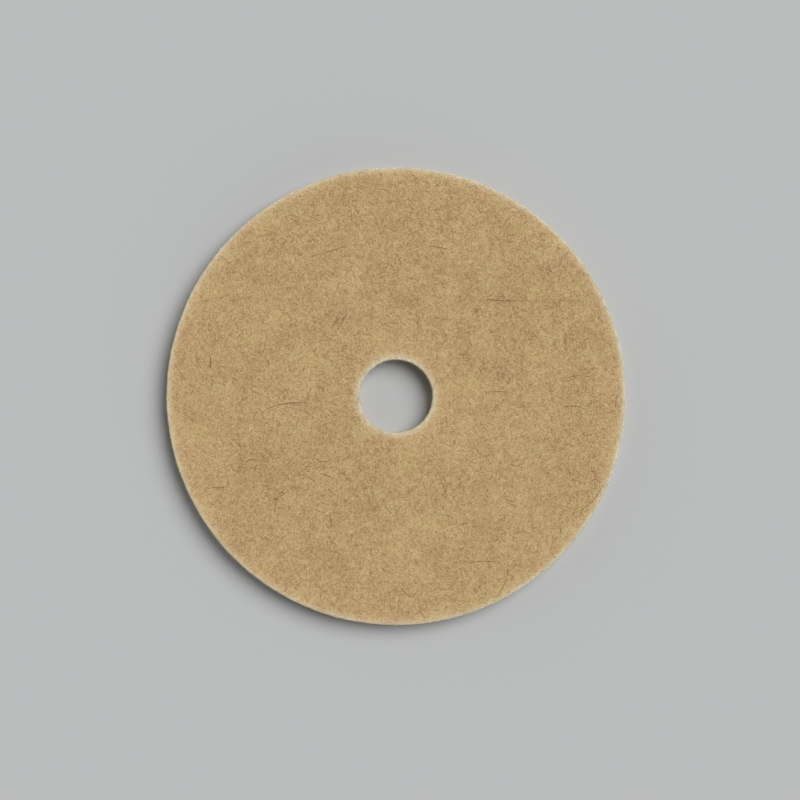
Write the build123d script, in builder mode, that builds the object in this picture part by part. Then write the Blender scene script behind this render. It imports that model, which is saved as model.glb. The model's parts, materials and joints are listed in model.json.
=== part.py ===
from build123d import *
import os

# A felt polishing wheel, lying on its rear face. Lengths are in millimetres.
# The spindle axis is +Z, and the origin is where that axis meets the rear face.
#
# The wheel is a laminate of pressed wool felt: a cream core ply between two tan face plies, with a film of
# cement on each side of the core. The five layers are cut together to one rim and one bore. The cut leaves
# four sharp edges, which are then rubbed down to a soft round.

os.makedirs("parts", exist_ok=True)

# Driving dimensions
wheel_radius = 100 / 2
bore_radius = 16 / 2  # a 16 mm grinder spindle
wheel_thickness = 4
face_ply_thickness = 1
cement_thickness = 0.1
edge_round = 0.3  # radius of the rubbed-down edges, all within the face plies

# Heights of the layers above the rear face
rear_cement_base = face_ply_thickness
core_base = rear_cement_base + cement_thickness
front_cement_base = wheel_thickness - face_ply_thickness - cement_thickness
front_ply_base = front_cement_base + cement_thickness


def cut_outline():
    """Draw the one outline that every layer is cut to: the rim, with the bore taken out."""
    Circle(wheel_radius)
    Circle(bore_radius, mode=Mode.SUBTRACT)


# Rear face ply: tan felt, rounded where its outer face meets the rim and the bore
with BuildPart() as rear_face_ply:
    with BuildSketch(Plane.XY):
        cut_outline()
    extrude(amount=face_ply_thickness)
    fillet(rear_face_ply.faces().sort_by(Axis.Z)[0].edges(), radius=edge_round)

rear_face_ply.part.label = "rear_face_ply"
export_step(rear_face_ply.part, "parts/rear_face_ply.step")


# Rear cement film: bonds the rear ply to the core, and shows only as a hairline at the rim and the bore
with BuildPart() as rear_cement_film:
    with BuildSketch(Plane.XY.offset(rear_cement_base)):
        cut_outline()
    extrude(amount=cement_thickness)

rear_cement_film.part.label = "rear_cement_film"
export_step(rear_cement_film.part, "parts/rear_cement_film.step")


# Core ply: the thick cream felt in the middle, with square edges
with BuildPart() as core_ply:
    with BuildSketch(Plane.XY.offset(core_base)):
        cut_outline()
    extrude(amount=front_cement_base - core_base)

core_ply.part.label = "core_ply"
export_step(core_ply.part, "parts/core_ply.step")


# Front cement film: bonds the front ply to the core
with BuildPart() as front_cement_film:
    with BuildSketch(Plane.XY.offset(front_cement_base)):
        cut_outline()
    extrude(amount=cement_thickness)

front_cement_film.part.label = "front_cement_film"
export_step(front_cement_film.part, "parts/front_cement_film.step")


# Front face ply: the tan working face, rounded at the rim and the bore as the rear one is
with BuildPart() as front_face_ply:
    with BuildSketch(Plane.XY.offset(front_ply_base)):
        cut_outline()
    extrude(amount=face_ply_thickness)
    fillet(front_face_ply.faces().sort_by(Axis.Z)[-1].edges(), radius=edge_round)

front_face_ply.part.label = "front_face_ply"
export_step(front_face_ply.part, "parts/front_face_ply.step")
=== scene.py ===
import json
import math

import bpy
import numpy as np
from bpy.props import FloatProperty, FloatVectorProperty, IntProperty, PointerProperty
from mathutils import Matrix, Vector


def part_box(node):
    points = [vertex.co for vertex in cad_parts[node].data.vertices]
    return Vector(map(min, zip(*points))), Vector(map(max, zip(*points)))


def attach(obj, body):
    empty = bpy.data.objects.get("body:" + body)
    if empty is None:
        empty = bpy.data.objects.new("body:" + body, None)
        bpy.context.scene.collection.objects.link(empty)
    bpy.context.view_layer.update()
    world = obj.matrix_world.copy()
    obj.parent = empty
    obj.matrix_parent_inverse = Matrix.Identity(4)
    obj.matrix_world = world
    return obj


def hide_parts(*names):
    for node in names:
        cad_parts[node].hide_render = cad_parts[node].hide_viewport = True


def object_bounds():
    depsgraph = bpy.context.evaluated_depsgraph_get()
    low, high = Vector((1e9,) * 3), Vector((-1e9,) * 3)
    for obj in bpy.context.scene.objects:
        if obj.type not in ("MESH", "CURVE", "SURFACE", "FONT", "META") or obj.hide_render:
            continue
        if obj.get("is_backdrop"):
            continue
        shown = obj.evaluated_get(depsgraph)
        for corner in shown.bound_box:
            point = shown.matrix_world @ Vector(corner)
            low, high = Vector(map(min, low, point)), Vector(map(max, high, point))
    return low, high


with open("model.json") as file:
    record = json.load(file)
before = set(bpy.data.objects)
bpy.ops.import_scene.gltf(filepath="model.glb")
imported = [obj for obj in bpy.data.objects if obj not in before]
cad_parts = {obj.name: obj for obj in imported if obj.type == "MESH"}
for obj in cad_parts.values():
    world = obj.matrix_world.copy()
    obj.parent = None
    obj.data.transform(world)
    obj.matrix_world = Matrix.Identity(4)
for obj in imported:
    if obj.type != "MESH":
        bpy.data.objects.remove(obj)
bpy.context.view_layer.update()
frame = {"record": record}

bl_info = {
    "name": "Felt Polishing Wheel",
    "version": (1, 0, 0),
    "blender": (4, 5, 0),
    "location": "View3D > Sidebar > Polishing Wheel",
    "description": "Builds the felt, fibres and cement of a laminated polishing wheel round its packed frame",
    "category": "Object",
}

MM = 0.001
FRONT_LOW, FRONT_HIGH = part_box("front_face_ply")
BORE = next(mount for mount in frame["record"]["mounts"] if mount["name"] == "bore")
BORE_WALL = BORE["dims"]["length_mm"] * MM
FACES = {"front": 1, "rear": -1}
BONDS = [sum(corner.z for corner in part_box(f"{name}_cement_film")) / 2 for name in FACES]

# Reach and power of the cut edge's falloff: of the pale broken fibre ends, and of the rubbed, lighter band.
PALE_EDGE = (0.85 * MM, 1.7)
RUBBED_EDGE = (2.0 * MM, 1.0)

# Shortest and longest hollow in the pressed surface, and the half width of the groove at each cement line.
HOLLOWS = (1.6 * MM, 17 * MM)
GROOVE = 0.2 * MM

# How far the cement films stop short of the cut walls.
CEMENT_RECESS = 0.06 * MM

# Half of the short guard hairs grow in tufts: how many, their spread over the wheel, and each one's size.
TUFTS = 60
TUFT_SPREAD = 0.55
TUFT_SIZE = 2.0 * MM

# Shortest and longest of the short guard hairs.
SHORT_HAIRS = (1.0 * MM, 3.3 * MM)

# Places on the fibres' colour ramp: of fibres in the pale edge, and of hairs and fuzz, with their spread.
PALE_TONE = 0.93
HAIR_TONE = (0.08, 0.07)
FUZZ_TONE = (0.9, 0.1)

# The floor's radius, and the width and middle of what the camera sees at the level of the front face.
FLOOR_RADIUS = 30.0
VIEW_WIDTH = 174.0 * MM
VIEW_CENTRE = (0.88 * MM, -0.82 * MM)

# The softboxes: name, strength, width, azimuth and elevation, all angles in degrees.
SOFTBOXES = (
    ("key_softbox", 3.05, 47, 35, 50),
    ("side_fill", 0.65, 60, -60, 15),
    ("back_fill", 0.65, 60, 150, 15),
)

# The bundles of loose fibres: face, name, shortest and longest, bend, tone and its spread, mean arch height.
BUNDLES = (
    ("front", "fleece_fine", (0.65 * MM, 2.3 * MM), 0.22, (0.62, 0.12), 0.013 * MM),
    ("front", "fleece_light", (0.65 * MM, 3.0 * MM), 0.22, (0.75, 0.08), 0.02 * MM),
    ("front", "fleece_brown", (0.65 * MM, 2.6 * MM), 0.22, (0.52, 0.10), 0.013 * MM),
    ("rear", "fleece_fine", (0.65 * MM, 3.0 * MM), 0.25, (0.62, 0.18), 0.0),
)

# The fuzz of the cut edges: name, share of a bundle's count, shortest and longest, and mean height.
FUZZ = (
    ("nap", 0.95, (0.5 * MM, 1.6 * MM), 0.02 * MM),
    ("down", 0.95, (0.65 * MM, 2.0 * MM), 0.045 * MM),
    ("wisps", 0.15, (1.0 * MM, 2.3 * MM), 0.12 * MM),
)

# The longest dark guard hairs in the front face, listed: middle x and y, heading, and length. Distances
# are in millimetres and headings in degrees.
LONG_HAIRS = (
    (-22.0, 38.0, -31, 2.9),
    (-13.1, 16.2, 52, 3.0),
    (-11.8, 16.1, 64, 2.8),
    (-11.1, 17.1, 58, 2.2),
    (0.7, 29.6, -65, 3.1),
    (9.1, 32.4, -9, 4.4),
    (23.0, 20.9, -4, 7.0),
    (39.8, 4.3, 3, 5.4),
    (37.7, 3.5, 14, 3.3),
    (38.9, -2.4, -2, 5.1),
    (42.4, -1.6, 24, 2.6),
    (22.2, 0.9, 2, 5.4),
    (-40.4, 7.9, -82, 3.3),
    (-15.0, 31.4, 16, 7.9),
    (-38.9, -19.9, 2, 5.5),
    (-25.3, -21.7, 27, 4.9),
    (-34.5, -16.3, 63, 2.6),
    (23.5, -40.4, 67, 7.2),
    (25.2, -37.5, 35, 2.8),
    (18.9, -36.0, 3, 5.4),
    (-14.2, -26.8, -83, 3.7),
    (-23.8, -2.0, 11, 11.2),
    (42.1, -22.8, 40, 9.8),
    (2.2, -42.8, -45, 3.6),
)


def linear(colour):
    """Turn an sRGB hex colour to the linear red, green, blue and alpha that a shader takes."""
    parts = [int(colour[i : i + 2], 16) / 255 for i in (1, 3, 5)]
    return [x / 12.92 if x <= 0.04045 else ((x + 0.055) / 1.055) ** 2.4 for x in parts] + [1.0]


class WheelSizes(bpy.types.PropertyGroup):
    """The sizes of the wheel's plies and of the felt's fibres."""

    wheel_radius: FloatProperty(
        name="Wheel radius",
        description="From the spindle axis to the rim",
        default=FRONT_HIGH.x,
        unit="LENGTH",
    )
    bore_radius: FloatProperty(
        name="Bore radius",
        description="From the spindle axis to the wall of the bore",
        default=BORE["dims"]["r_mm"] * MM,
        unit="LENGTH",
    )
    thickness: FloatProperty(
        name="Thickness",
        description="From the rear face to the front face",
        default=FRONT_HIGH.z,
        unit="LENGTH",
    )
    face_ply: FloatProperty(
        name="Face ply",
        description="Thickness of each tan face ply",
        default=FRONT_HIGH.z - FRONT_LOW.z,
        unit="LENGTH",
    )
    edge_round: FloatProperty(
        name="Edge round",
        description="Radius to which the cut edges are rubbed down",
        default=(FRONT_HIGH.z - BORE_WALL) / 2,
        unit="LENGTH",
    )
    face_relief: FloatProperty(
        name="Face relief",
        description="How far the pressed face lies below flat at its hollows, divided by two",
        default=0.045 * MM,
        unit="LENGTH",
    )
    rim_relief: FloatProperty(
        name="Rim relief",
        description="How far the cut wall wanders in from a true circle, divided by two",
        default=0.085 * MM,
        unit="LENGTH",
    )
    bond_pinch: FloatProperty(
        name="Bond pinch",
        description="How far the cut walls draw in where two plies are cemented",
        default=0.08 * MM,
        unit="LENGTH",
    )
    out_of_round: FloatProperty(
        name="Out of round",
        description="How much less the rim's radius is along Y than along X",
        default=0.2 * MM,
        unit="LENGTH",
    )
    bore_closing: FloatProperty(
        name="Bore closing",
        description="How far the felt springs back into the punched bore",
        default=0.08 * MM,
        unit="LENGTH",
    )
    fibre_radius: FloatProperty(
        name="Fibre radius",
        description="Radius of a wool fibre, drawn about twice as coarse as real wool so that it shows",
        default=0.0315 * MM,
        unit="LENGTH",
    )
    hair_radius: FloatProperty(
        name="Guard hair radius",
        description="Radius of a coarse dark guard hair",
        default=0.049 * MM,
        unit="LENGTH",
    )
    fibres: IntProperty(
        name="Fibres",
        description="Fibres in each bundle that is laid on a face or along the edges",
        default=8000,
        min=100,
    )
    hairs: IntProperty(
        name="Guard hairs",
        description="Short dark guard hairs on each face",
        default=120,
        min=0,
    )


class WheelColours(bpy.types.PropertyGroup):
    """The colours of the felts, the fibres and the cement."""

    # As the dark end of the face felt's mix, tan goes into the hollows of the relief, where it is partly
    # painted shade on top of the wool's own grain. The fibres use it as their plain tan.
    tan: FloatVectorProperty(
        name="Tan felt",
        description="The face plies between their fibres",
        subtype="COLOR",
        size=4,
        default=linear("#997A4C"),
    )
    # As the light end of the face felt's mix, light tan goes on the raised tops of the relief, where it is
    # partly painted light. The fibres use it as their plain light tan.
    tan_light: FloatVectorProperty(
        name="Light tan felt",
        description="The raised fibres of the face plies",
        subtype="COLOR",
        size=4,
        default=linear("#CFB182"),
    )
    cream: FloatVectorProperty(
        name="Cream felt",
        description="The core ply and the cut edges",
        subtype="COLOR",
        size=4,
        default=linear("#DBD1B6"),
    )
    cream_shade: FloatVectorProperty(
        name="Shaded cream felt",
        description="The hollows between the cream fibres",
        subtype="COLOR",
        size=4,
        default=linear("#BBAE8D"),
    )
    cream_light: FloatVectorProperty(
        name="Light cream fibre",
        description="The palest loose fibres at the cut edges",
        subtype="COLOR",
        size=4,
        default=linear("#DDD5BC"),
    )
    guard_hair: FloatVectorProperty(
        name="Guard hair",
        description="The coarse dark hairs left in the wool",
        subtype="COLOR",
        size=4,
        default=linear("#5E4424"),
    )
    cement: FloatVectorProperty(
        name="Cement",
        description="The dried film between two plies",
        subtype="COLOR",
        size=4,
        default=linear("#A58A5C"),
    )
    paper: FloatVectorProperty(
        name="Paper",
        description="The floor under the wheel",
        subtype="COLOR",
        size=4,
        default=linear("#BEBFC0"),
    )


# Shapes


def waves(points, shortest, longest, count, seed):
    """Give each point a height from -1 to 1 or so.

    The height is the sum of plane sine waves in random directions with random phases. Their lengths run
    evenly on a log scale from the shortest to the longest, and a wave's share grows with the root of its
    length.
    """
    rng = np.random.default_rng(seed)
    length = np.geomspace(shortest, longest, count)
    direction = rng.normal(size=(3, count))
    direction /= np.linalg.norm(direction, axis=0)
    phase = rng.uniform(0, 2 * np.pi, count)
    share = np.sqrt(length)
    share /= np.sqrt((share**2).sum() / 2)
    angle = points @ (direction * (2 * np.pi / length)) + phase
    widest = 2.2  # root mean squares of the sum that count as a full wave
    return np.clip(np.sin(angle) @ share / widest, -1, 1)


def section_at(run, sizes):
    """Radius, height and outward normal at a distance along the wheel's front section.

    The run equals the radius on the flat face. Past the flat it goes over the quarter round at the rim and
    down the rim's wall, and the other way over the round at the bore and down the bore's wall. On a round,
    the angle is the distance past the flat divided by the round's radius.
    """
    round_ = sizes.edge_round
    inner = sizes.bore_radius + round_
    outer = sizes.wheel_radius - round_
    rim = np.clip((run - outer) / round_, 0, np.pi / 2)
    bore = np.clip((inner - run) / round_, 0, np.pi / 2)
    bend = round_ * np.pi / 2
    drop = np.maximum(run - outer - bend, 0) + np.maximum(inner - run - bend, 0)
    radius = np.clip(run, inner, outer) + round_ * (np.sin(rim) - np.sin(bore))
    height = sizes.thickness - round_ * (2 - np.cos(rim) - np.cos(bore)) - drop
    return radius, height, np.sin(rim) - np.sin(bore), np.cos(rim) * np.cos(bore)


def ends_of_run(sizes, depth):
    """Where the section's run reaches a depth below the front face, on the bore's and on the rim's wall."""
    past_flat = sizes.edge_round * (np.pi / 2 - 1) + depth
    return (
        sizes.bore_radius + sizes.edge_round - past_flat,
        sizes.wheel_radius - sizes.edge_round + past_flat,
    )


def sink(points, sideways, sizes):
    """How far the felt's surface lies inside its true shape at each point.

    It is the relief times one less the waves' height. The relief goes from the face's to the rim's with the
    share of the normal that points sideways. Each bond adds a groove to the walls, as a bell curve of the
    height over the bond. At the rim the radius also falls off along Y, with the square of the sine of the
    angle round the wheel, and in the bore the wall stands out by the felt's spring.
    """
    share = np.abs(sideways)
    relief = sizes.face_relief * (1 - share) + sizes.rim_relief * share
    height = waves(points, *HOLLOWS, 48, seed=11)
    radius = np.hypot(points[..., 0], points[..., 1])
    across = (points[..., 1] / radius) ** 2
    on_rim = radius > (sizes.wheel_radius + sizes.bore_radius) / 2
    groove = sum(np.exp(-(((points[..., 2] - bond) / GROOVE) ** 2)) for bond in BONDS)
    walls = np.where(on_rim, sizes.out_of_round * across, -sizes.bore_closing)
    walls = sizes.bond_pinch * groove + walls
    return relief * (1 - height) + share * walls


def felt_surface(angle, run, side, sizes, lift=0.0):
    """The point and outward normal on the felt at an angle round the wheel and a run along its section.

    The point is the section's point turned round the spindle axis, sunk by the relief and lifted along its
    normal. Side 1 is the front half and -1 the rear half, its mirror image in the middle of the core.
    """
    radius, height, out, up = section_at(run, sizes)
    middle = sizes.thickness / 2
    level = middle + side * (height - middle)
    cos, sin = np.cos(angle), np.sin(angle)
    point = np.stack(np.broadcast_arrays(radius * cos, radius * sin, level), -1)
    normal = np.stack(np.broadcast_arrays(out * cos, out * sin, side * up), -1)
    sunk = sink(point, np.broadcast_to(out, point.shape[:-1]), sizes)
    return point + normal * (lift - sunk)[..., None], normal


def edge_share(run, sizes, reach, power):
    """How strongly the cut edge shows at a run along the section, from 1 on the walls to 0 well inside.

    It is the exponential of minus a power of the distance from the nearer edge divided by the reach.
    """
    inside = np.clip(np.minimum(run - sizes.bore_radius, sizes.wheel_radius - run), 0, None)
    return np.exp(-((inside / reach) ** power))


def grid_faces(rows, columns):
    """The corners of each square of a grid that is closed both ways, as a ring's surface is."""
    row, column = np.meshgrid(np.arange(rows), np.arange(columns), indexing="ij")
    next_row, next_column = (row + 1) % rows, (column + 1) % columns
    corners = [
        row * columns + column,
        next_row * columns + column,
        next_row * columns + next_column,
        row * columns + next_column,
    ]
    return np.stack(corners, -1).reshape(-1, 4)


def new_piece(name, points, faces, uv=None):
    """Make a smooth mesh object at the origin from an array of points and a list of face arrays."""
    mesh = bpy.data.meshes.new(name)
    corners = np.concatenate([f.ravel() for f in faces]).astype(np.int32)
    counts = np.concatenate([np.full(len(f), f.shape[1]) for f in faces])
    mesh.vertices.add(len(points))
    mesh.vertices.foreach_set("co", points.astype(np.float32).ravel())
    mesh.loops.add(len(corners))
    mesh.loops.foreach_set("vertex_index", corners)
    mesh.polygons.add(len(counts))
    mesh.polygons.foreach_set("loop_start", (np.cumsum(counts) - counts).astype(np.int32))
    mesh.polygons.foreach_set("use_smooth", np.ones(len(counts), bool))
    if uv is not None:
        mesh.uv_layers.new(name="OFBake").uv.foreach_set("vector", uv.astype(np.float32).ravel())
    mesh.update(calc_edges=True)
    mesh.validate()
    made = bpy.data.objects.new(name, mesh)
    bpy.context.scene.collection.objects.link(made)
    return made


def face_ply(side, sizes, around=720):
    """Make a face ply as one ring that is closed round the spindle axis and round its own section.

    The section runs up the bore's wall, over the face and down the rim's wall, with most points where it
    bends, and comes back along the bonded side in a straight line. Its bake map is the ring laid flat: the
    distance from the map's middle is the run, and the bonded side lies small inside the bore. The attributes
    pale_edge and rubbed_edge hold how strongly the cut edge shows in two ways.
    """
    low, high = ends_of_run(sizes, sizes.face_ply)
    bend = sizes.edge_round * np.pi / 2
    inner, outer = sizes.bore_radius + sizes.edge_round, sizes.wheel_radius - sizes.edge_round
    run = np.concatenate([
        np.linspace(low, inner - bend, 4, endpoint=False),
        np.linspace(inner - bend, inner, 6, endpoint=False),
        np.linspace(inner, outer, 96, endpoint=False),
        np.linspace(outer, outer + bend, 6, endpoint=False),
        np.linspace(outer + bend, high, 5),
    ])
    angle = np.linspace(0, 2 * np.pi, around, endpoint=False)
    shown, _ = felt_surface(angle[:, None], run[None, :], side, sizes)
    back = np.linspace(0, 1, 7)
    hidden = shown[:, -1:] + (shown[:, :1] - shown[:, -1:]) * back[1:-1, None]
    points = np.concatenate([shown, hidden], axis=1)
    columns = points.shape[1]
    faces = grid_faces(around, columns)

    start = np.concatenate([run[:-1], low * (0.95 - 0.8 * back[:-1])])
    end = np.concatenate([run[1:], low * (0.95 - 0.8 * back[1:])])
    from_middle = np.stack([start, start, end, end], -1)[None] / (2.02 * high)
    step = 2 * np.pi / around
    turn = angle[:, None] + step * np.array([0, 1, 1, 0])
    turn = np.broadcast_to(turn[:, None], (around, columns, 4))
    uv = 0.5 + from_middle[..., None] * np.stack([np.cos(turn), side * np.sin(turn)], -1)
    uv = uv.reshape(-1, 4, 2)
    if side > 0:
        faces, uv = faces[:, ::-1], uv[:, ::-1]
    ply = new_piece("front_felt_ply" if side > 0 else "rear_felt_ply", points.reshape(-1, 3), [faces], uv)

    for attribute, falloff in (("pale_edge", PALE_EDGE), ("rubbed_edge", RUBBED_EDGE)):
        share = np.zeros(columns)
        share[: len(run)] = edge_share(run, sizes, *falloff)
        values = ply.data.attributes.new(attribute, "FLOAT", "POINT")
        values.data.foreach_set("value", np.tile(share, around).astype(np.float32))
    return ply


def inner_ring(name, low, high, recess, sizes, around, wall_steps):
    """Make the core or a cement film as a closed ring between two heights.

    Its section is a rectangle: up the rim's wall, in along the top, down the bore's wall and out along
    the bottom. Each wall follows the felt's cut wall at its own height, less the recess.
    """
    height = np.linspace(low, high, wall_steps)
    radius = np.linspace(sizes.wheel_radius, sizes.bore_radius, 8)[1:-1]
    level = np.full(len(radius), high)
    section = np.concatenate([
        np.stack([np.full(wall_steps, sizes.wheel_radius), height, np.ones(wall_steps)], -1),
        np.stack([radius, level, 0 * radius], -1),
        np.stack([np.full(wall_steps, sizes.bore_radius), height[::-1], -np.ones(wall_steps)], -1),
        np.stack([radius[::-1], level - (high - low), 0 * radius], -1),
    ])
    angle = np.linspace(0, 2 * np.pi, around, endpoint=False)[:, None]
    across, level, out = section.T[:, None]
    points = np.stack(np.broadcast_arrays(across * np.cos(angle), across * np.sin(angle), level), -1)
    out = np.broadcast_to(out, points.shape[:-1])
    inward = np.where(out != 0, sink(points, out, sizes) + recess, 0)
    points[..., :2] *= (1 - out * inward / across)[..., None]
    return new_piece(name, points.reshape(-1, 3), [grid_faces(around, len(section))])


def wandering(heading, length, bend, steps, rng):
    """Centre lines of fibres on a plane, each with its middle at zero, as arrays of x and y.

    A fibre's heading turns by its first random bend in step with the way along it, and by its second with
    the square of that way, so that it is an uneven arc. The points are the running sum of steps along it.
    """
    along = np.linspace(-1, 1, steps)
    turns = rng.normal(0, bend, (2, len(heading), 1))
    heading = heading[:, None] + turns[0] * along + turns[1] * along**2
    step = (length / (steps - 1))[:, None]
    x = np.cumsum(step * np.cos(heading), axis=1)
    y = np.cumsum(step * np.sin(heading), axis=1)
    return x - x.mean(1, keepdims=True), y - y.mean(1, keepdims=True), along


def tubes(name, path, normal, radius, tone, rng):
    """Make a piece of many fibres, each a three-sided tube along its path that tapers at both ends.

    A ring's corners lie a third of a turn apart round the path point, in the plane of the surface's normal
    and the sideways direction, which is that normal crossed with the path's direction. The thickness is one
    less three quarters of the fourth power of the way along. The bake map gives each face the fibre's tone
    across and a random stretch along, so that faces that share a place on it share their colour.
    """
    count, steps = path.shape[:2]
    way = np.gradient(path, axis=1)
    way /= np.linalg.norm(way, axis=-1, keepdims=True)
    sideways = np.cross(normal, way)
    sideways /= np.linalg.norm(sideways, axis=-1, keepdims=True)
    upward = np.cross(way, sideways)
    corner = np.arange(3) * 2 * np.pi / 3 + np.pi / 2
    taper = 0.75
    thick = radius[:, None] * (1 - taper * np.linspace(-1, 1, steps) ** 4)
    cos, sin = np.cos(corner)[:, None], np.sin(corner)[:, None]
    ring = sideways[:, :, None] * cos + upward[:, :, None] * sin
    points = path[:, :, None] + thick[:, :, None, None] * ring

    first = (np.arange(count) * steps * 3)[:, None, None]
    row = (np.arange(steps - 1) * 3)[None, :, None]
    here = np.arange(3)
    there = (here + 1) % 3
    quads = np.stack([row + here, row + 3 + here, row + 3 + there, row + there], -1) + first[..., None]
    caps = [first[:, 0] + corners for corners in (here, steps * 3 - 3 + here[::-1])]

    cell = 1 / 64
    across = cell + (1 - 3 * cell) * tone
    along = rng.uniform(0.02, 0.9, count)[:, None] + np.linspace(0, 0.08, steps)
    ends = [0, 1, 1, 0]
    quad_u = np.stack([across[:, :-1], across[:, 1:]], -1)[:, :, None, ends]
    quad_u = quad_u + cell * (here[:, None] + np.array([0, 0, 1, 1])) / 3
    quad_v = np.stack([along[:, :-1], along[:, 1:]], -1)[:, :, None, ends]
    uv = [np.stack(np.broadcast_arrays(quad_u, quad_v), -1).reshape(-1, 2)]
    for end in (0, -1):
        spot = np.stack([across[:, end], along[:, end]], -1)
        uv.append((spot[:, None] + cell * np.array([[0, 0], [0.5, 0], [0.25, 0.5]])).reshape(-1, 2))
    return new_piece(name, points.reshape(-1, 3), [quads.reshape(-1, 4), *caps], np.concatenate(uv))


def on_face(heading, middle, sizes, length, bend, steps, rng):
    """Angles and runs of fibres that lie on a face, dropping those that would pass its rounded edges."""
    x, y, along = wandering(heading, length, bend, steps, rng)
    x, y = x + middle[0][:, None], y + middle[1][:, None]
    run = np.hypot(x, y)
    margin = 0.25 * sizes.edge_round
    kept = (run.min(1) > sizes.bore_radius + margin) & (run.max(1) < sizes.wheel_radius - margin)
    return np.arctan2(y, x)[kept], run[kept], along


def face_fibres(name, side, sizes, seed, length, bend, tone, rise):
    """Make a bundle of fibres that lie on a face and dive in and out of it.

    A fibre's lift is a sine along it from a random phase, so that stretches of it are buried. One in five
    also stands off the face in an arch, by a random exponential height. Lengths are even in their range, and
    tones follow a bell curve and turn pale at the cut edges.
    """
    rng = np.random.default_rng(seed)
    count, steps, radius = sizes.fibres, 4, sizes.fibre_radius
    spread = np.sqrt(rng.uniform(sizes.bore_radius**2, sizes.wheel_radius**2, count))
    turn = rng.uniform(0, 2 * np.pi, count)
    middle = spread * np.cos(turn), spread * np.sin(turn)
    heading = rng.uniform(0, 2 * np.pi, count)
    length = rng.uniform(*length, count)
    angle, run, along = on_face(heading, middle, sizes, length, bend, steps, rng)
    kept = len(run)
    phase = rng.uniform(0, 2 * np.pi, (kept, 1))
    cycles = rng.uniform(0.3, 1.2, (kept, 1))
    lift = radius * (0.1 + 0.9 * np.sin(phase + np.pi * cycles * along))
    arch = np.minimum(rng.exponential(rise, (kept, 1)), 5 * rise) * (rng.random((kept, 1)) < 0.2)
    path, normal = felt_surface(angle, run, side, sizes, lift + arch * (1 - along**2))
    own = np.clip(rng.normal(*tone, (kept, 1)), 0, 1)
    share = edge_share(run, sizes, *PALE_EDGE)
    thick = radius * rng.uniform(0.6, 1.3, kept)
    return tubes(name, path, normal, thick, own * (1 - share) + PALE_TONE * share, rng)


def guard_hairs(name, side, sizes, seed, count, placed):
    """Make the dark guard hairs of a face: short ones, half of them in tufts, and the listed ones."""
    rng = np.random.default_rng(seed)
    tuft = rng.normal(0, TUFT_SPREAD, (2, TUFTS)) * sizes.wheel_radius
    chosen = rng.integers(0, TUFTS, count)
    middle = tuft[:, chosen] + rng.normal(0, TUFT_SIZE, (2, count))
    loose = rng.random(count) < 0.5
    middle[:, loose] = rng.uniform(-1, 1, (2, loose.sum())) * sizes.wheel_radius
    heading = rng.uniform(0, 2 * np.pi, count)
    length = rng.uniform(*SHORT_HAIRS, count)
    if placed:
        x, y, degrees, long_ = np.array(placed).T
        middle = np.concatenate([middle, np.stack([x, y]) * MM], axis=1)
        heading = np.concatenate([heading, np.radians(degrees)])
        length = np.concatenate([length, long_ * MM])
    angle, run, along = on_face(heading, middle, sizes, length, 0.22, 8, rng)
    kept = len(run)
    radius = sizes.hair_radius * rng.uniform(0.4, 0.9, kept)
    radius[kept - len(placed) :] = sizes.hair_radius
    phase = rng.uniform(0, 2 * np.pi, (kept, 1))
    lift = radius[:, None] * (0.8 + 0.5 * np.sin(phase + 2 * along))
    path, normal = felt_surface(angle, run, side, sizes, lift)
    tone = np.clip(rng.normal(*HAIR_TONE, (kept, 1)), 0, 1) + 0 * run
    return tubes(name, path, normal, radius, tone, rng)


def edge_fuzz(name, at_rim, sizes, seed, count, length, tall):
    """Make the fuzz of cut fibre ends on the rim or in the bore.

    The fibres lie in random directions on the strip that runs from one rounded edge over the wall to the
    other. Their lift grows from root to tip with the way along to the power 1.5, up to a random exponential
    height, so that a few stand well off the wall and most lie down. None reaches below the rear face's plane.
    """
    rng = np.random.default_rng(seed)
    low, high = ends_of_run(sizes, sizes.thickness / 2)
    edge = sizes.wheel_radius if at_rim else sizes.bore_radius
    far = high if at_rim else low
    outward = np.sign(far - edge)
    start = edge - outward * 0.9 * sizes.edge_round
    long_ = rng.uniform(*length, count)
    x, y, along = wandering(rng.uniform(0, 2 * np.pi, count), long_, 0.5, 5, rng)
    run = rng.uniform(min(start, far), max(start, far), count)[:, None] + y
    side = np.where(rng.random((count, 1)) < 0.5, 1, -1) * np.where((run - far) * outward > 0, -1, 1)
    run = far - outward * np.abs(far - run)
    angle = rng.uniform(0, 2 * np.pi, count)[:, None] + x / edge
    height = np.minimum(rng.exponential(tall, (count, 1)), 5 * tall)
    radius = sizes.fibre_radius * rng.uniform(0.6, 1.2, count)
    lift = 0.5 * radius[:, None] + height * (0.5 + 0.5 * along) ** 1.5
    path, normal = felt_surface(angle, run, side, sizes, lift)
    path[..., 2] = np.maximum(path[..., 2], 0)
    tone = np.clip(rng.normal(*FUZZ_TONE, (count, 1)), 0, 1) + 0 * run
    return tubes(name, path, normal, radius, tone, rng)


# Finishes


def add(tree, kind, inputs=None, **settings):
    """Add a node to a tree with its settings, and give each input a value or another node's output."""
    made = tree.nodes.new(kind)
    for name, value in settings.items():
        setattr(made, name, value)
    for name, value in (inputs or {}).items():
        if isinstance(value, bpy.types.NodeSocket):
            tree.links.new(value, made.inputs[name])
        else:
            made.inputs[name].default_value = value
    return made


def start_material(name):
    """A new material with an empty tree."""
    material = bpy.data.materials.new(name)
    material.use_nodes = True
    material.node_tree.nodes.clear()
    return material, material.node_tree


def finish_material(material, inputs):
    """Give a material its Principled shader and output."""
    shader = add(material.node_tree, "ShaderNodeBsdfPrincipled", inputs)
    add(material.node_tree, "ShaderNodeOutputMaterial", {0: shader.outputs[0]})
    return material


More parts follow.
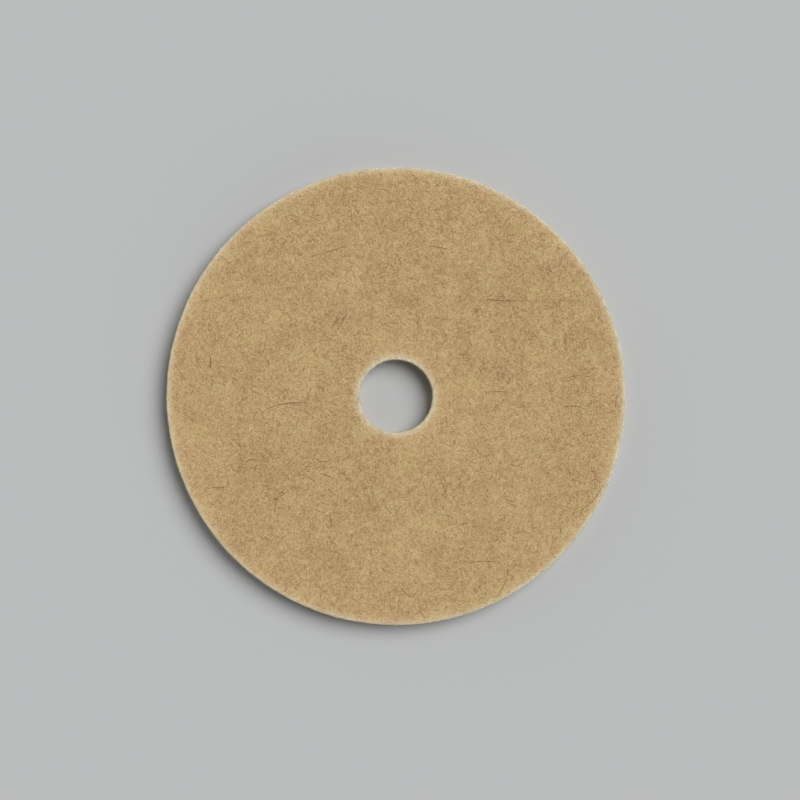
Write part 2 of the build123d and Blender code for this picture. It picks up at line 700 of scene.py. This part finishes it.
def fibre_streaks(tree, place, across, along, turns):
    """Criss-crossed streaks like matted fibres: the highest of several noises, each drawn out one way."""
    highest = None
    for turn in turns:
        line = add(
            tree,
            "ShaderNodeMapping",
            {
                "Vector": place,
                "Location": (turn * MM, -turn * MM, 0),
                "Rotation": (0, 0, math.radians(turn)),
                "Scale": (along, across, across),
            },
            vector_type="TEXTURE",
        )
        streaks = {"Vector": line.outputs[0], "Scale": 1.0, "Detail": 1.0}
        noise = add(tree, "ShaderNodeTexNoise", streaks).outputs[0]
        if highest is None:
            highest = noise
        else:
            highest = add(tree, "ShaderNodeMath", {0: highest, 1: noise}, operation="MAXIMUM").outputs[0]
    return highest


def pressed_wool_felt(name, dark, light, cut_dark, cut_light):
    """Pressed and steamed wool felt, dull and fibrous.

    Matting leaves fine streaks in every direction, which take the light unevenly, and cloudy patches of
    denser wool some millimetres across. The streaks' height drives the bump, and the colour is also painted
    darker in
    their hollows and lighter on their tops: painted shade and light on top of the wool's own grain. Real
    fibres are about 0.03 mm wide, so the streaks are drawn some five times as coarse, to show. The wool has
    taken its dye a little redder in some places and greener in others. Where it is cut, the broken fibre ends
    are paler than the dressed face, and beside the cut the face is rubbed a little lighter.
    """
    material, tree = start_material(name)
    place = add(tree, "ShaderNodeTexCoord").outputs["Object"]
    drift = add(tree, "ShaderNodeTexNoise", {"Vector": place, "Scale": 1 / (1.05 * MM), "Detail": 1.0})
    drift = add(
        tree,
        "ShaderNodeVectorMath",
        {0: drift.outputs["Color"], 1: (0.5, 0.5, 0.5)},
        operation="SUBTRACT",
    )
    bent = add(
        tree,
        "ShaderNodeVectorMath",
        {0: drift.outputs[0], 1: (0.8 * MM, 0.8 * MM, 0.8 * MM), 2: place},
        operation="MULTIPLY_ADD",
    ).outputs[0]
    fine = fibre_streaks(tree, bent, 0.16 * MM, 0.85 * MM, (8, 44, 80, 116, 152))
    coarse = fibre_streaks(tree, bent, 0.33 * MM, 1.6 * MM, (26, 86, 146))
    grain = add(
        tree,
        "ShaderNodeTexNoise",
        {"Vector": place, "Scale": 1 / (0.33 * MM), "Detail": 2.0, "Roughness": 0.7},
    )
    clouds = add(
        tree,
        "ShaderNodeTexNoise",
        {"Vector": place, "Scale": 1 / (10 * MM), "Detail": 6.0, "Roughness": 0.85},
    )

    matting = add(tree, "ShaderNodeMath", {0: fine, 1: 0.36, 2: -0.14}, operation="MULTIPLY_ADD")
    matting = add(
        tree,
        "ShaderNodeMath",
        {0: coarse, 1: 0.55, 2: matting.outputs[0]},
        operation="MULTIPLY_ADD",
    )
    matting = add(
        tree,
        "ShaderNodeMath",
        {0: grain.outputs[0], 1: 0.45, 2: matting.outputs[0]},
        operation="MULTIPLY_ADD",
    )
    # The relief is the streaks' height for the bump, and it also sets the colour below: darker in its hollows
    # is painted shade, on top of the streaks' own grain.
    relief = add(
        tree,
        "ShaderNodeMapRange",
        {"Value": matting.outputs[0], "From Min": 0.49, "From Max": 0.72},
    ).outputs[0]
    density = add(
        tree,
        "ShaderNodeMapRange",
        {"Value": clouds.outputs[0], "From Min": 0.3, "From Max": 0.7, "To Min": -0.23, "To Max": 0.23},
    ).outputs[0]
    rubbed = add(tree, "ShaderNodeAttribute", attribute_name="rubbed_edge").outputs["Fac"]
    rubbed = add(tree, "ShaderNodeMath", {0: rubbed, 1: 0.35, 2: density}, operation="MULTIPLY_ADD")
    tone = add(tree, "ShaderNodeMath", {0: relief, 1: rubbed.outputs[0]}, operation="ADD", use_clamp=True)
    tone = tone.outputs[0]

    uneven = add(tree, "ShaderNodeTexNoise", {"Vector": place, "Scale": 1 / (5 * MM), "Detail": 3.0})
    uneven = add(
        tree,
        "ShaderNodeMapRange",
        {"Value": uneven.outputs[0], "From Min": 0.3, "From Max": 0.7, "To Min": 0.493, "To Max": 0.507},
    )
    # Dark in the relief's hollows and light on its tops: painted shade and light, mixed with the denser
    # patches and the rubbed band.
    face = add(tree, "ShaderNodeMix", {0: tone, 6: dark, 7: light}, data_type="RGBA")
    face = add(tree, "ShaderNodeHueSaturation", {"Hue": uneven.outputs[0], "Color": face.outputs[2]})
    # The cut walls take the same painted shade in the hollows between their fibres.
    cut = add(tree, "ShaderNodeMix", {0: tone, 6: cut_dark, 7: cut_light}, data_type="RGBA")
    pale = add(tree, "ShaderNodeAttribute", attribute_name="pale_edge").outputs["Fac"]
    pale = add(
        tree,
        "ShaderNodeMath",
        {0: density, 1: pale, 2: pale},
        operation="MULTIPLY_ADD",
        use_clamp=True,
    )
    colour = add(
        tree,
        "ShaderNodeMix",
        {0: pale.outputs[0], 6: face.outputs[0], 7: cut.outputs[2]},
        data_type="RGBA",
    )
    rough = add(tree, "ShaderNodeMapRange", {"Value": relief, "To Min": 1.0, "To Max": 0.86})
    bump = add(tree, "ShaderNodeBump", {"Height": relief, "Strength": 0.5, "Distance": 0.065 * MM})
    return finish_material(
        material,
        {
            "Base Color": colour.outputs[2],
            "Roughness": rough.outputs[0],
            "Normal": bump.outputs[0],
            "IOR": 1.55,
            "Specular IOR Level": 0.3,
            "Sheen Weight": 0.15,
            "Sheen Roughness": 0.5,
            "Sheen Tint": cut_light,
        },
    )


def dried_cement(colour):
    """Rubber cement that has dried to a thin amber film: smoother than the wool, with a soft waxy shine."""
    material, tree = start_material("dried_rubber_cement")
    return finish_material(material, {"Base Color": colour, "Roughness": 0.5, "IOR": 1.52})


def wool_fibre(colours):
    """Single wool fibres: dull along their scaly sides, from brown guard hair through tan to bleached cream.

    The colour runs across the bake map, whose first coordinate holds each fibre's own tone.
    """
    material, tree = start_material("wool_fibre")
    tone = add(tree, "ShaderNodeUVMap", uv_map="OFBake")
    tone = add(tree, "ShaderNodeSeparateXYZ", {0: tone.outputs[0]})
    ramp = add(tree, "ShaderNodeValToRGB", {0: tone.outputs[0]})
    stops = ramp.color_ramp.elements
    brown = [0.5 * (a + b) for a, b in zip(colours.guard_hair, colours.tan)]
    light = [0.7 * a + 0.3 * b for a, b in zip(colours.tan_light, colours.cream_light)]
    shades = (
        (0.0, colours.guard_hair),
        (0.25, brown),
        (0.45, colours.tan),
        (0.65, colours.tan_light),
        (0.82, light),
        (0.92, colours.cream),
        (1.0, colours.cream_light),
    )
    while len(stops) < len(shades):
        stops.new(0.5)
    for stop, (position, shade) in zip(stops, shades):
        stop.position = position
        stop.color = shade
    return finish_material(
        material,
        {
            "Base Color": ramp.outputs[0],
            "Roughness": 0.95,
            "IOR": 1.55,
            "Specular IOR Level": 0.2,
        },
    )


def matt_floor(colour):
    """Seamless matt paper, with no shine."""
    material, tree = start_material("matt_paper")
    return finish_material(material, {"Base Color": colour, "Roughness": 1.0, "Specular IOR Level": 0.0})


# Stage


def flat_floor(level, radius, around=64):
    """Make the floor: a disc about the spindle axis, of circles whose radii grow as their number squared."""
    rings = radius * np.linspace(0, 1, 7)[1:] ** 2
    angle = np.linspace(0, 2 * np.pi, around, endpoint=False)[:, None]
    ring = np.stack(np.broadcast_arrays(rings * np.cos(angle), rings * np.sin(angle), level), -1)
    points = np.concatenate([ring.reshape(-1, 3), [[0, 0, level]]])
    row, column = np.meshgrid(np.arange(around), np.arange(len(rings) - 1), indexing="ij")
    start, next_ = row * len(rings) + column, (row + 1) % around * len(rings) + column
    bands = np.stack([start, start + 1, next_ + 1, next_], -1).reshape(-1, 4)
    spokes = np.arange(around) * len(rings)
    middle = np.stack([np.full(around, len(points) - 1), spokes, np.roll(spokes, -1)], -1)
    return new_piece("floor", points, [bands, middle])


def studio_air(horizon, ceiling, strength):
    """Give the world a pale glow at the horizon that fades to a dim ceiling by about 25 degrees up."""
    world = bpy.data.worlds.new("studio_air")
    world.use_nodes = True
    tree = world.node_tree
    tree.nodes.clear()
    way = add(tree, "ShaderNodeTexCoord").outputs["Generated"]
    up = add(tree, "ShaderNodeSeparateXYZ", {0: way}).outputs["Z"]
    share = add(
        tree,
        "ShaderNodeMapRange",
        {"Value": up, "From Min": 0.15, "From Max": 0.42},
        interpolation_type="SMOOTHSTEP",
    )
    colour = add(tree, "ShaderNodeMix", {0: share.outputs[0], 6: horizon, 7: ceiling}, data_type="RGBA")
    air = add(tree, "ShaderNodeBackground", {"Color": colour.outputs[2], "Strength": strength})
    add(tree, "ShaderNodeOutputWorld", {0: air.outputs[0]})
    return world


def sun_light(name, strength, spread, azimuth, elevation):
    """Add a far softbox as a sun with an angular width, from an azimuth and elevation, all in degrees."""
    light = bpy.data.lights.new(name, "SUN")
    light.energy = strength
    light.angle = math.radians(spread)
    made = bpy.data.objects.new(name, light)
    turn, up = math.radians(azimuth), math.radians(elevation)
    away = Vector((math.cos(turn) * math.cos(up), math.sin(turn) * math.cos(up), math.sin(up)))
    made.rotation_euler = away.to_track_quat("Z", "Y").to_euler()
    bpy.context.scene.collection.objects.link(made)


# Operators


def dress(piece, node, material):
    """Let a piece ride on the wheel's body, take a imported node's place, and wear a slot and a finish."""
    piece.data.materials.append(material)
    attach(piece, "root")
    if node:
        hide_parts(node)


class WHEEL_OT_face_plies(bpy.types.Operator):
    """Build the two tan felt face plies with their rounded, paler cut edges"""

    bl_idname = "wheel.face_plies"
    bl_label = "Build Face Plies"

    def execute(self, context):
        sizes, colours = context.scene.wheel_sizes, context.scene.wheel_colours
        felt = pressed_wool_felt(
            "tan_wool_felt", colours.tan, colours.tan_light, colours.cream_shade, colours.cream
        )
        for name, side in FACES.items():
            ply = face_ply(side, sizes)
            dress(ply, f"{name}_face_ply", felt)
        return {"FINISHED"}


class WHEEL_OT_core(bpy.types.Operator):
    """Build the cream felt core ply between the two cement films"""

    bl_idname = "wheel.core"
    bl_label = "Build Core"

    def execute(self, context):
        sizes, colours = context.scene.wheel_sizes, context.scene.wheel_colours
        low, high = [corner.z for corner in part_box("core_ply")]
        core = inner_ring("core_felt_ply", low, high, 0.0, sizes, 960, 13)
        felt = pressed_wool_felt(
            "cream_wool_felt", colours.cream_shade, colours.cream, colours.cream_shade, colours.cream
        )
        dress(core, "core_ply", felt)
        return {"FINISHED"}


class WHEEL_OT_cement(bpy.types.Operator):
    """Build the two dried cement films, set a little in from the cut walls"""

    bl_idname = "wheel.cement"
    bl_label = "Build Cement Films"

    def execute(self, context):
        sizes, colours = context.scene.wheel_sizes, context.scene.wheel_colours
        finish = dried_cement(colours.cement)
        for name in FACES:
            low, high = [corner.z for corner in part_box(f"{name}_cement_film")]
            film = inner_ring(f"{name}_dried_cement", low, high, CEMENT_RECESS, sizes, 720, 3)
            dress(film, f"{name}_cement_film", finish)
        return {"FINISHED"}


class WHEEL_OT_face_fibres(bpy.types.Operator):
    """Lay the loose fibres on both faces, in bundles"""

    bl_idname = "wheel.face_fibres"
    bl_label = "Lay Face Fibres"

    def execute(self, context):
        sizes, colours = context.scene.wheel_sizes, context.scene.wheel_colours
        wool = bpy.data.materials.get("wool_fibre") or wool_fibre(colours)
        for seed, (face, name, length, bend, tone, rise) in enumerate(BUNDLES):
            fibres = face_fibres(
                f"{face}_{name}", FACES[face], sizes, 100 + seed, length, bend, tone, rise
            )
            dress(fibres, None, wool)
        return {"FINISHED"}


class WHEEL_OT_guard_hairs(bpy.types.Operator):
    """Lay the coarse dark guard hairs on both faces"""

    bl_idname = "wheel.guard_hairs"
    bl_label = "Lay Guard Hairs"

    def execute(self, context):
        sizes, colours = context.scene.wheel_sizes, context.scene.wheel_colours
        wool = bpy.data.materials.get("wool_fibre") or wool_fibre(colours)
        for face, side in FACES.items():
            placed = LONG_HAIRS if side > 0 else ()
            hairs = guard_hairs(f"{face}_guard_hairs", side, sizes, 31 + side, sizes.hairs, placed)
            dress(hairs, None, wool)
        return {"FINISHED"}


class WHEEL_OT_edge_fuzz(bpy.types.Operator):
    """Raise the fuzz of cut fibre ends on the rim and in the bore"""

    bl_idname = "wheel.edge_fuzz"
    bl_label = "Raise Edge Fuzz"

    def execute(self, context):
        sizes, colours = context.scene.wheel_sizes, context.scene.wheel_colours
        wool = bpy.data.materials.get("wool_fibre") or wool_fibre(colours)
        bore_share = sizes.bore_radius / sizes.wheel_radius
        for seed, (name, share, length, tall) in enumerate(FUZZ):
            count = round(share * sizes.fibres)
            rim = edge_fuzz(f"rim_{name}", True, sizes, 51 + seed, count, length, tall)
            bore = edge_fuzz(f"bore_{name}", False, sizes, 61 + seed, round(count * bore_share), length, tall)
            for fuzz in (rim, bore):
                dress(fuzz, None, wool)
        return {"FINISHED"}


class WHEEL_OT_stage(bpy.types.Operator):
    """Set out the pale floor, the softboxes and the camera straight above the wheel"""

    bl_idname = "wheel.stage"
    bl_label = "Set Out Stage"

    def execute(self, context):
        scene = context.scene
        colours = scene.wheel_colours
        floor = flat_floor(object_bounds()[0][2], FLOOR_RADIUS)
        floor.data.materials.append(matt_floor(colours.paper))
        floor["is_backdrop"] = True

        for softbox in SOFTBOXES:
            sun_light(*softbox)
        scene.world = studio_air(linear("#BEC0C2"), linear("#484746"), 1.0)
        scene.view_settings.view_transform = "Standard"

        lens = bpy.data.cameras.new("camera")
        lens.lens = 85.0
        lens.sensor_width = 36.0
        camera = bpy.data.objects.new("camera", lens)
        scene.collection.objects.link(camera)
        distance = VIEW_WIDTH * lens.lens / lens.sensor_width
        camera.location = (VIEW_CENTRE[0], VIEW_CENTRE[1], FRONT_HIGH.z + distance)
        scene.camera = camera
        return {"FINISHED"}


class WHEEL_PT_panel(bpy.types.Panel):
    """Sidebar panel that lists the wheel's sizes, colours and build steps in order"""

    bl_idname = "WHEEL_PT_panel"
    bl_label = "Felt Polishing Wheel"
    bl_space_type = "VIEW_3D"
    bl_region_type = "UI"
    bl_category = "Polishing Wheel"

    def draw(self, context):
        """List every size and colour, and then the build steps."""
        for group in (context.scene.wheel_sizes, context.scene.wheel_colours):
            column = self.layout.column(align=True)
            for name in group.__annotations__:
                column.prop(group, name)
        for step in STEPS:
            self.layout.operator(step.bl_idname)


STEPS = (
    WHEEL_OT_face_plies,
    WHEEL_OT_core,
    WHEEL_OT_cement,
    WHEEL_OT_face_fibres,
    WHEEL_OT_guard_hairs,
    WHEEL_OT_edge_fuzz,
    WHEEL_OT_stage,
)
CLASSES = (WheelSizes, WheelColours, *STEPS, WHEEL_PT_panel)


def register():
    """Register the classes and hang the sizes and colours on the scene."""
    for cls in CLASSES:
        bpy.utils.register_class(cls)
    bpy.types.Scene.wheel_sizes = PointerProperty(type=WheelSizes)
    bpy.types.Scene.wheel_colours = PointerProperty(type=WheelColours)


def unregister():
    """Take the sizes and colours off the scene and drop the classes."""
    del bpy.types.Scene.wheel_colours
    del bpy.types.Scene.wheel_sizes
    for cls in reversed(CLASSES):
        bpy.utils.unregister_class(cls)


def main():
    """Build the wheel and its stage."""
    register()
    for step in STEPS:
        family, name = step.bl_idname.split(".")
        getattr(getattr(bpy.ops, family), name)()


if __name__ == "__main__":
    main()
